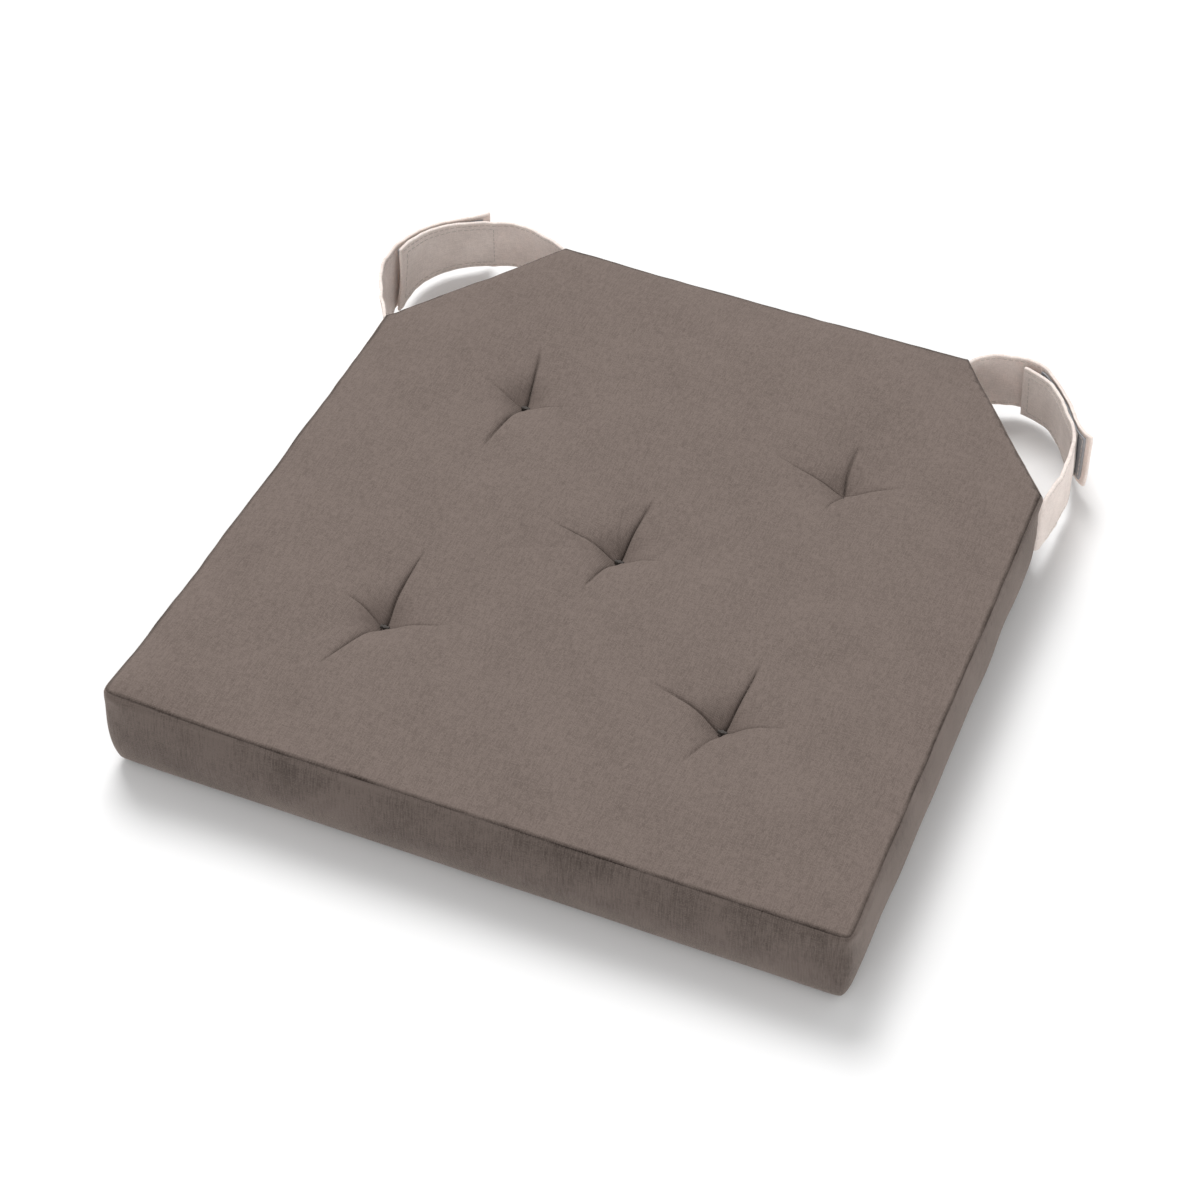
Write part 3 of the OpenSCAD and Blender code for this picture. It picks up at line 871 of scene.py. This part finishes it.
class Path:
    """A tab's middle line by length, which is 0 at the corner seam, with the mark of each given point."""

    def __init__(self, corner, heading, points):
        joint = next(j for j in frame["joints"] if "pos_m" in j and np.linalg.norm(
            np.array(j["pos_m"][:2]) - CORNERS[corner]) < 3 * MM)
        fold = np.array(joint["pos_m"][:2])
        out = fold - CORNERS[corner]
        out /= np.linalg.norm(out)
        out_heading = math.degrees(math.atan2(out[1], out[0]))
        stops = [(fold, heading)] + [(np.array(p[:2]) * MM, p[2]) for p in points]
        stretches = [curve_between(*a, *b, 60) for a, b in zip(stops[:-1], stops[1:])]
        free = np.concatenate([s[:-1] for s in stretches[:-1]] + [stretches[-1]])
        clear = np.linalg.norm(free - fold, axis=1) > FOLD_LENGTH
        start = CORNERS[corner] - out * ROOT
        root = np.linspace(start, CORNERS[corner] + out * 0.1 * MM, 20)
        first_way = free[clear][1] - free[clear][0]
        bend = curve_between(root[-1], out_heading, free[clear][0],
                             math.degrees(math.atan2(first_way[1], first_way[0])), 24)
        self.points = np.concatenate([root, bend[1:-1], free[clear]])
        steps = np.linalg.norm(np.diff(self.points, axis=0), axis=1)
        self.at = np.concatenate([[0], np.cumsum(steps)]) - ROOT
        ways = np.gradient(self.points, self.at, axis=0)
        self.left = np.stack([-ways[:, 1], ways[:, 0]], axis=1)
        self.left /= np.linalg.norm(self.left, axis=1)[:, None]
        self.marks = [self.at[np.linalg.norm(self.points - stop[0], axis=1).argmin()] for stop in stops]
        self.length = self.at[-1]
        self.fold, self.heading = fold, heading

    def mark(self, count):
        """Length along the path at a place counted in given points, such as 1.5"""
        return float(np.interp(count, range(len(self.marks)), self.marks))

    def place(self, s):
        """The spot at each length, straight on past the end, and the way to the left there"""
        spot = np.stack([np.interp(s, self.at, self.points[:, k]) for k in (0, 1)], axis=1)
        left = np.stack([np.interp(s, self.at, self.left[:, k]) for k in (0, 1)], axis=1)
        left /= np.linalg.norm(left, axis=1)[:, None]
        past = np.maximum(s - self.length, 0)
        way = np.array([self.left[-1][1], -self.left[-1][0]])
        return spot + past[:, None] * way, left


PATHS = {name: Path(*line) for name, line in TAB_LINES.items()}
for name, path in PATHS.items():
    print(name, "tab:", round(path.length / MM), "mm from its seam to its free end")

# %% [markdown]
# A strap is never quite flat or upright. Its top edge starts at the pad's seam and comes down a little.
# Its lower edge is pushed outwards where the strap goes round the post, and the edges of two tabs that
# cling to each other bend together. The cloth has soft creases and its hems pucker. Laying a piece along
# its path adds all of that, in the same way for the cloth, its tape and its stitches.

# %% Lay a flat piece along a path
STRAP_MIDDLE = TOP / 2
STRAP_WIDTH = 36 * MM
LONGER = {"left_side": 3 * MM, "left_rear": 5 * MM, "right_side": 3 * MM, "right_rear": 0}
OUTSIDE = {"left_side": 1, "left_rear": -1, "right_rear": 1, "right_side": -1}
LOWER_EDGE_OUT = {  # how far the lower edge is pushed outwards at each length along the tab, in mm
    "left_side": [(0, 0), (38, -2), (71, -4), (88, 1), (105, 5), (127, 5.5)],
    "left_rear": [(0, 0), (20, 2), (42, 6), (70, 5), (92, 1), (112, -4)],
    "right_rear": [(0, 0), (22, 0), (38, 0.5), (60, 3), (80, 2.5), (95, 1), (106, 0)],
    "right_side": [(0, 0), (35, 1), (60, 1), (85, 3), (118, 2.5)],
}
UPPER_EDGE_OUT = {"left_side": 1.0, "left_rear": 1.0, "right_rear": 0.2, "right_side": 0}
END_SKEW = {"left_rear": 11 * MM}
ROOT_LIFT, LIFT_ENDS = {"left_side": 5, "left_rear": 4, "right_rear": 3, "right_side": 5}, 32 * MM
HEM_SQUEEZE = 0.9 * MM
CREASE, HEM_PUCKER = 0.55 * MM, 0.14 * MM


def soft_step(x):
    x = np.clip(x, 0, 1)
    return x * x * (3 - 2 * x)


def lay(piece, name):
    path, outside = PATHS[name], OUTSIDE[name]
    kind, first, last = TABS[name]
    co = coordinates(piece.data)
    s, across, up = co[:, 0], co[:, 1], co[:, 2]
    below = 0.5 - across / STRAP_WIDTH
    skew = END_SKEW.get(name, 0) * soft_step((s / path.length - 0.6) / 0.4)
    spot, left = path.place(s + skew * (below - 0.15))
    marks, outs = zip(*LOWER_EDGE_OUT[name])
    lower_out = np.interp(s / MM, marks, outs) * MM
    cling = soft_step((s - path.mark(first)) / (8 * MM)) * soft_step((path.mark(last) - s) / (8 * MM) + 1)
    hem = np.clip((np.abs(across) - 11 * MM) / (7 * MM), 0, 1) ** 2
    to_partner = -outside if kind == "hook" else outside
    seed = len(name) + ord(name[0])
    crease = waves(np.column_stack([s, across * 0.5]), 19 * MM, seed) * CREASE * (1 - 0.5 * cling)
    drawn = waves(s[:, None], 8 * MM, seed + 1) * HEM_PUCKER * hem
    ripple = crease + drawn
    away = soft_step(s / (30 * MM))
    shift = up + outside * lower_out * below + to_partner * HEM_SQUEEZE * hem * cling
    shift = shift + (ripple + outside * UPPER_EDGE_OUT[name] * MM * (1 - below)) * away
    lift = ROOT_LIFT[name] * MM * soft_step(1 - s / LIFT_ENDS)
    laid = np.column_stack([spot + left * shift[:, None], STRAP_MIDDLE + across + lift])
    piece.data.vertices.foreach_set("co", laid.ravel())
    piece.data.update()


# %% The band of cloth
STRAP_THICK = 2.0 * MM
HEM = 2.2 * MM


def flat_band(bm, start, end, width, thick, low, cell, edge_r):
    """A flat band with round edges: length along X, width along Y, from low to low + thick along Z"""
    bmesh.ops.create_cube(bm, size=1)
    bmesh.ops.scale(bm, vec=(end - start, width, thick), verts=bm.verts[:])
    bmesh.ops.translate(bm, vec=((start + end) / 2, 0, low + thick / 2), verts=bm.verts[:])
    bmesh.ops.bevel(bm, geom=bm.edges[:], offset=edge_r, segments=3, profile=0.5, affect="EDGES", material=-1)
    for axis, size in ((0, end - start), (1, width)):
        count = max(int(size / cell), 1)
        first = start if axis == 0 else -width / 2
        for k in range(1, count):
            where, normal = [0, 0, 0], [0, 0, 0]
            where[axis], normal[axis] = first + size * k / count, 1
            geom = bm.verts[:] + bm.edges[:] + bm.faces[:]
            bmesh.ops.bisect_plane(bm, geom=geom, plane_co=where, plane_no=normal)
    bmesh.ops.recalc_face_normals(bm, faces=bm.faces[:])


def band_uvs(piece):
    co = coordinates(piece.data)
    write_uvs(piece.data, np.stack([co[:, 1], co[:, 0]], axis=1))
    edge = np.abs(np.abs(co[:, 1]) - STRAP_WIDTH / 2)
    write_attribute(piece.data, "wear", 0.4 * np.exp(-(edge / (1.2 * MM)) ** 2))


def press_stitch_line(piece, depth):
    """The cloth dips along the line of stitches beside each long edge"""
    co = coordinates(piece.data)
    gap = np.abs(co[:, 1]) - (STRAP_WIDTH / 2 - HEM)
    dip = depth * np.exp(-(gap / (0.9 * MM)) ** 2)
    co[:, 2] -= np.sign(co[:, 2]) * dip
    piece.data.vertices.foreach_set("co", co.ravel())


for name in TABS:
    path, body = PATHS[name], name + "_tab"
    bm = bmesh.new()
    flat_band(bm, -ROOT + 0.5 * MM, path.length + LONGER[name], STRAP_WIDTH, STRAP_THICK,
              -STRAP_THICK / 2, 1.5 * MM, 0.8 * MM)
    piece = object_from(bm, name + "_tab_cloth")
    bm.free()
    press_stitch_line(piece, 0.3 * MM)
    band_uvs(piece)
    lay(piece, name)
    finish_piece(piece, GREIGE, None, [body, body + "_root"])
    way = heading_way(path.heading)
    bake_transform(piece)
    print(piece.name, len(piece.data.polygons), "faces")

# %% [markdown]
# ## Hook and loop tapes
# The hook tape is a stiff grey strip with rows of tiny hooks, and the loop tape is a soft one with a
# brushed face. They are bands like the tabs, but thinner, and their faces are rough, not woven.

# %% Tape materials
def rough_material(name, dark, light, scale, bump, rough=0.9, sheen=0.0):
    material, tree = new_material(name)
    where = node(tree, "ShaderNodeTexCoord")
    cells = node(tree, "ShaderNodeTexVoronoi", {"Vector": where.outputs["Object"], "Scale": scale})
    fluff = node(tree, "ShaderNodeTexNoise",
                 {"Vector": where.outputs["Object"], "Scale": scale * 0.8, "Detail": 5.0})
    mask = sums(tree, "ADD", sums(tree, "MULTIPLY", cells.outputs["Distance"], 0.5),
                sums(tree, "MULTIPLY", fluff.outputs[0], 0.7))
    surface(tree, mask, mask, dark, light, 0.8, bump, {"Roughness": rough, "Sheen Weight": sheen})
    return material


HOOK_GREY = rough_material("hook tape grey", (0.20, 0.21, 0.22), (0.42, 0.43, 0.45), 900.0, 0.3, 0.6)
LOOP_GREIGE = rough_material("loop tape greige", (0.33, 0.30, 0.28), (0.55, 0.50, 0.47), 1200.0, 0.4,
                             rough=0.95, sheen=0.4)

# %% The four tapes
TAPE_WIDTH, TAPE_THICK = 30 * MM, 1.1 * MM

for name, (kind, first, last) in TABS.items():
    path, body = PATHS[name], name + "_tab"
    bm = bmesh.new()
    flat_band(bm, path.mark(first), path.mark(last) + LONGER[name], TAPE_WIDTH, TAPE_THICK,
              -STRAP_THICK / 2 - TAPE_THICK, 2.0 * MM, 0.25 * MM)
    piece = object_from(bm, f"{name}_{kind}_tape_strip")
    bm.free()
    lay(piece, name)
    material = {"hook": HOOK_GREY, "loop": LOOP_GREIGE}[kind]
    finish_piece(piece, material, body, [f"{name}_{kind}_tape"])
    print(piece.name, "is", round((path.mark(last) - path.mark(first)) / MM), "mm long")

# %% [markdown]
# ## Stitches
# Each stitch is a short round grain of thread, made once from a small cylinder with pinched ends and
# copied along the lines: a rectangle round each tape, and a line along both edges of each tab.

# %% Thread material
def thread_material(name, colour):
    material, tree = new_material(name)
    where = node(tree, "ShaderNodeTexCoord")
    ply = node(tree, "ShaderNodeTexWave",
               {"Vector": where.outputs["Object"], "Scale": 700.0, "Distortion": 1.0}).outputs["Fac"]
    darker = [c * 0.75 for c in colour]
    surface(tree, ply, ply, darker, colour, 0.5, 0.05, {"Roughness": 0.7, "Sheen Weight": 0.2})
    return material


STRAP_THREAD = thread_material("greige thread", (0.66, 0.58, 0.53))
DARK_THREAD = thread_material("dark taupe thread", (0.13, 0.105, 0.09))
# The twine is near black, darker than the cloth, so the bit seen at the bottom of each pit is painted shade.
SHADE_DARK_TUFT_THREAD = thread_material("tufting twine dark as painted shade", (0.05, 0.04, 0.034))

# %% Lines of stitches
STITCH_LENGTH, STITCH_GAP, STITCH_R = 2.5 * MM, 0.8 * MM, 0.24 * MM


def add_stitch(bm, s, across, up, turned):
    made = bmesh.ops.create_cone(bm, cap_ends=True, segments=6, radius1=STITCH_R, radius2=STITCH_R,
                                 depth=STITCH_LENGTH * 0.7)["verts"]
    caps = [face for face in {f for v in made for f in v.link_faces} if len(face.verts) == 6]
    for face in caps:
        end = bmesh.ops.extrude_discrete_faces(bm, faces=[face])["faces"][0]
        made = made + list(end.verts)
        way = Vector((0, 0, math.copysign(STITCH_LENGTH * 0.15, end.calc_center_median().z)))
        bmesh.ops.translate(bm, vec=way, verts=list(end.verts))
        bmesh.ops.scale(bm, vec=(0.45, 0.45, 1), verts=list(end.verts))
    turn = Matrix.Rotation(math.radians(90), 4, "X" if turned else "Y")
    bmesh.ops.transform(bm, matrix=Matrix.Translation((s, across, up)) @ turn, verts=list(set(made)))


def stitch_line(bm, a, b, up):
    a, b = np.array(a), np.array(b)
    length = np.linalg.norm(b - a)
    count = max(int(length / (STITCH_LENGTH + STITCH_GAP)), 1)
    for k in range(count):
        s, across = a + (b - a) * (k + 0.5) / count
        add_stitch(bm, s, across, up, abs(b[1] - a[1]) > abs(b[0] - a[0]))


for name, (kind, first, last) in TABS.items():
    path, body = PATHS[name], name + "_tab"
    bm = bmesh.new()
    face = STRAP_THICK / 2 + 0.02 * MM
    tape_face = -face - TAPE_THICK
    margin = 1.6 * MM
    s0, s1 = path.mark(first) + margin, path.mark(last) + LONGER[name] - margin
    half = TAPE_WIDTH / 2 - margin
    rectangle = [((s0, half), (s1, half)), ((s0, -half), (s1, -half)),
                 ((s0, -half), (s0, half)), ((s1, -half), (s1, half))]
    for up in (face, tape_face):
        for a, b in rectangle:
            stitch_line(bm, a, b, up)
    edge = STRAP_WIDTH / 2 - HEM
    for up in (STRAP_THICK / 2 - 0.2 * MM, -STRAP_THICK / 2 + 0.2 * MM):
        for side in (-1, 1):
            stitch_line(bm, (9 * MM, side * edge), (path.length + LONGER[name] - HEM, side * edge), up)
    bmesh.ops.recalc_face_normals(bm, faces=bm.faces[:])
    piece = object_from(bm, name + "_tab_stitches")
    bm.free()
    lay(piece, name)
    finish_piece(piece, STRAP_THREAD, body, [f"{name}_tape_stitching"])
    print(piece.name, len(piece.data.polygons), "faces")

# %% [markdown]
# ## Inside the cover
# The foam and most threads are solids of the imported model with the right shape, so they stay, and only
# get better materials. Wadding is soft enough to be pulled in by the folds, so its two sheets are made
# again and follow them, a little more gently than the cloth does. The threads of the two long seams
# follow the seams of the filled cover, just inside the cloth.

# %% Materials of the filling and the threads
FOAM = rough_material("cream foam", (0.62, 0.56, 0.40), (0.85, 0.80, 0.66), 600.0, 0.5)
WADDING = rough_material("white wadding", (0.75, 0.75, 0.74), (0.92, 0.92, 0.91), 150.0, 1.2, 0.95, 0.5)


def dress(node_name, material):
    piece = frame["nodes"][node_name]
    for slot in piece.material_slots:
        slot.material = material


dress("foam_core", FOAM)
dress("corner_seam_threads", DARK_THREAD)
for name in TUFTS:
    dress("tuft_thread_" + name, SHADE_DARK_TUFT_THREAD)

# %% Two sheets of wadding
WADDING_INSET, WADDING_THICK = 6 * MM, 1.6 * MM
BELOW_TOP, ABOVE_SEAT = 2.3 * MM, 1.3 * MM
GENTLER = 1.8


def under_top_panel(points):
    return top_heights(points) - BELOW_TOP - tuft_drop(points, GENTLER)


def over_bottom_panel(points):
    return dimples(points, UNDER_DIMPLE, UNDER_REACH) + ABOVE_SEAT + WADDING_THICK


for name, height_at in (("top_wadding", under_top_panel), ("bottom_wadding", over_bottom_panel)):
    bm = bmesh.new()
    panel_grid(bm)
    bmesh.ops.subdivide_edges(bm, edges=bm.edges[:], cuts=1, use_grid_fill=True)
    shrink = 1 - WADDING_INSET / side_high.x
    bmesh.ops.scale(bm, vec=(shrink, shrink, 1), verts=bm.verts[:])
    for v, height in zip(bm.verts, height_at(flat(bm.verts))):
        v.co.z = height
    sheet = object_from(bm, name + "_sheet")
    bm.free()
    thicken = sheet.modifiers.new("wadding thickness", "SOLIDIFY")
    thicken.thickness, thicken.offset = WADDING_THICK, -1
    finish_piece(sheet, WADDING, "pad", [name])
    print(sheet.name, len(sheet.data.polygons), "faces")

# %% Threads of the two long seams
THREAD_R, THREAD_IN = 0.35 * MM, 1.6 * MM
THREAD_INSIDE = {"top_seam_thread": -1.0 * MM, "bottom_seam_thread": 1.3 * MM}

for cad_node, points in SEAM_LINES.items():
    order = np.argsort(np.arctan2(points[:, 1], points[:, 0]))[::2]
    inset = points[order] - np.pad(way_out(points[order][:, :2]), ((0, 0), (0, 1))) * THREAD_IN
    inset[:, 2] += THREAD_INSIDE[cad_node]
    curve = bpy.data.curves.new(cad_node + "_line", "CURVE")
    curve.dimensions, curve.bevel_depth, curve.bevel_resolution = "3D", THREAD_R, 1
    spline = curve.splines.new("POLY")
    spline.points.add(len(inset) - 1)
    spline.points.foreach_set("co", np.pad(inset, ((0, 0), (0, 1)), constant_values=1).ravel())
    spline.use_cyclic_u = True
    thread = add_object(cad_node + "_loop", baked(add_object(cad_node + "_loop", curve)))
    finish_piece(thread, DARK_THREAD, "pad", [cad_node])
    print(thread.name, len(thread.data.polygons), "faces")

# %% [markdown]
# ## Floor, light and camera
# A pale floor under a large soft light from behind and the left, with an even sky. That light draws the
# folds and, with the painted shade in the boxing's colour, leaves the front boxing dark. A second, low
# light brightens the right side and the straps.
# The sky is seen brighter than it shines, so a low view has a pale backdrop and still soft shadows.

# %% Floor
bm = bmesh.new()
bmesh.ops.create_grid(bm, x_segments=1, y_segments=1, size=4)
bmesh.ops.translate(bm, vec=(0, 0, -0.3 * MM), verts=bm.verts[:])
floor = object_from(bm, "floor")
bm.free()
pale, tree = new_material("pale floor")
for key, value in (("Base Color", (0.93, 0.93, 0.93, 1)), ("Roughness", 0.9)):
    tree.nodes["Principled BSDF"].inputs[key].default_value = value
floor.data.materials.append(pale)

# %% Light
SKY_LIGHT, SKY_SEEN = 0.55, 0.95
world = bpy.data.worlds.new("studio")
world.use_nodes = True
sky = world.node_tree
sky.nodes.clear()
lit = node(sky, "ShaderNodeBackground", {"Color": (1, 1, 1, 1), "Strength": SKY_LIGHT})
seen = node(sky, "ShaderNodeBackground", {"Color": (1, 1, 1, 1), "Strength": SKY_SEEN})
straight = node(sky, "ShaderNodeLightPath")
either = node(sky, "ShaderNodeMixShader",
              {0: straight.outputs["Is Camera Ray"], 1: lit.outputs[0], 2: seen.outputs[0]})
node(sky, "ShaderNodeOutputWorld", {"Surface": either.outputs[0]})
scene.world = world


def soft_light(name, place, target, width, height, power):
    light = bpy.data.lights.new(name, "AREA")
    light.shape = "RECTANGLE"
    light.size, light.size_y, light.energy = width, height, power
    lamp = add_object(name, light)
    lamp.location = place
    lamp.rotation_mode = "QUATERNION"
    lamp.rotation_quaternion = (Vector(place) - Vector(target)).to_track_quat("Z", "Y")


soft_light("key from behind", (-1.35, 1.7, 3.45), (0, 0, 0), 1.9, 1.9, 117)
soft_light("low light from the right", (1.6, -0.1, 0.14), (0.2, 0, 0.04), 1.2, 0.24, 4.2)
soft_light("weak light from the front", (0.3, -2.4, 1.5), (0, 0, 0), 1.6, 1.2, 15.5)

# %% Camera
AZIMUTH, ELEVATION = math.radians(22.81), math.radians(46.10)
DISTANCE, LENS, SENSOR = 1.61815, 92.66, 36
ASIDE, ABOVE = -12.93 * MM, 2.51 * MM
back = Vector((
    math.sin(AZIMUTH) * math.cos(ELEVATION),
    -math.cos(AZIMUTH) * math.cos(ELEVATION),
    math.sin(ELEVATION),
))
right = Vector((math.cos(AZIMUTH), math.sin(AZIMUTH), 0))
camera = add_object("camera", bpy.data.cameras.new("camera"))
camera.data.lens, camera.data.sensor_width = LENS, SENSOR
camera.location = back * DISTANCE + right * ASIDE + back.cross(right) * ABOVE
camera.rotation_mode = "QUATERNION"
camera.rotation_quaternion = back.to_track_quat("Z", "Y")
scene.camera = camera
scene.view_settings.view_transform = "Standard"
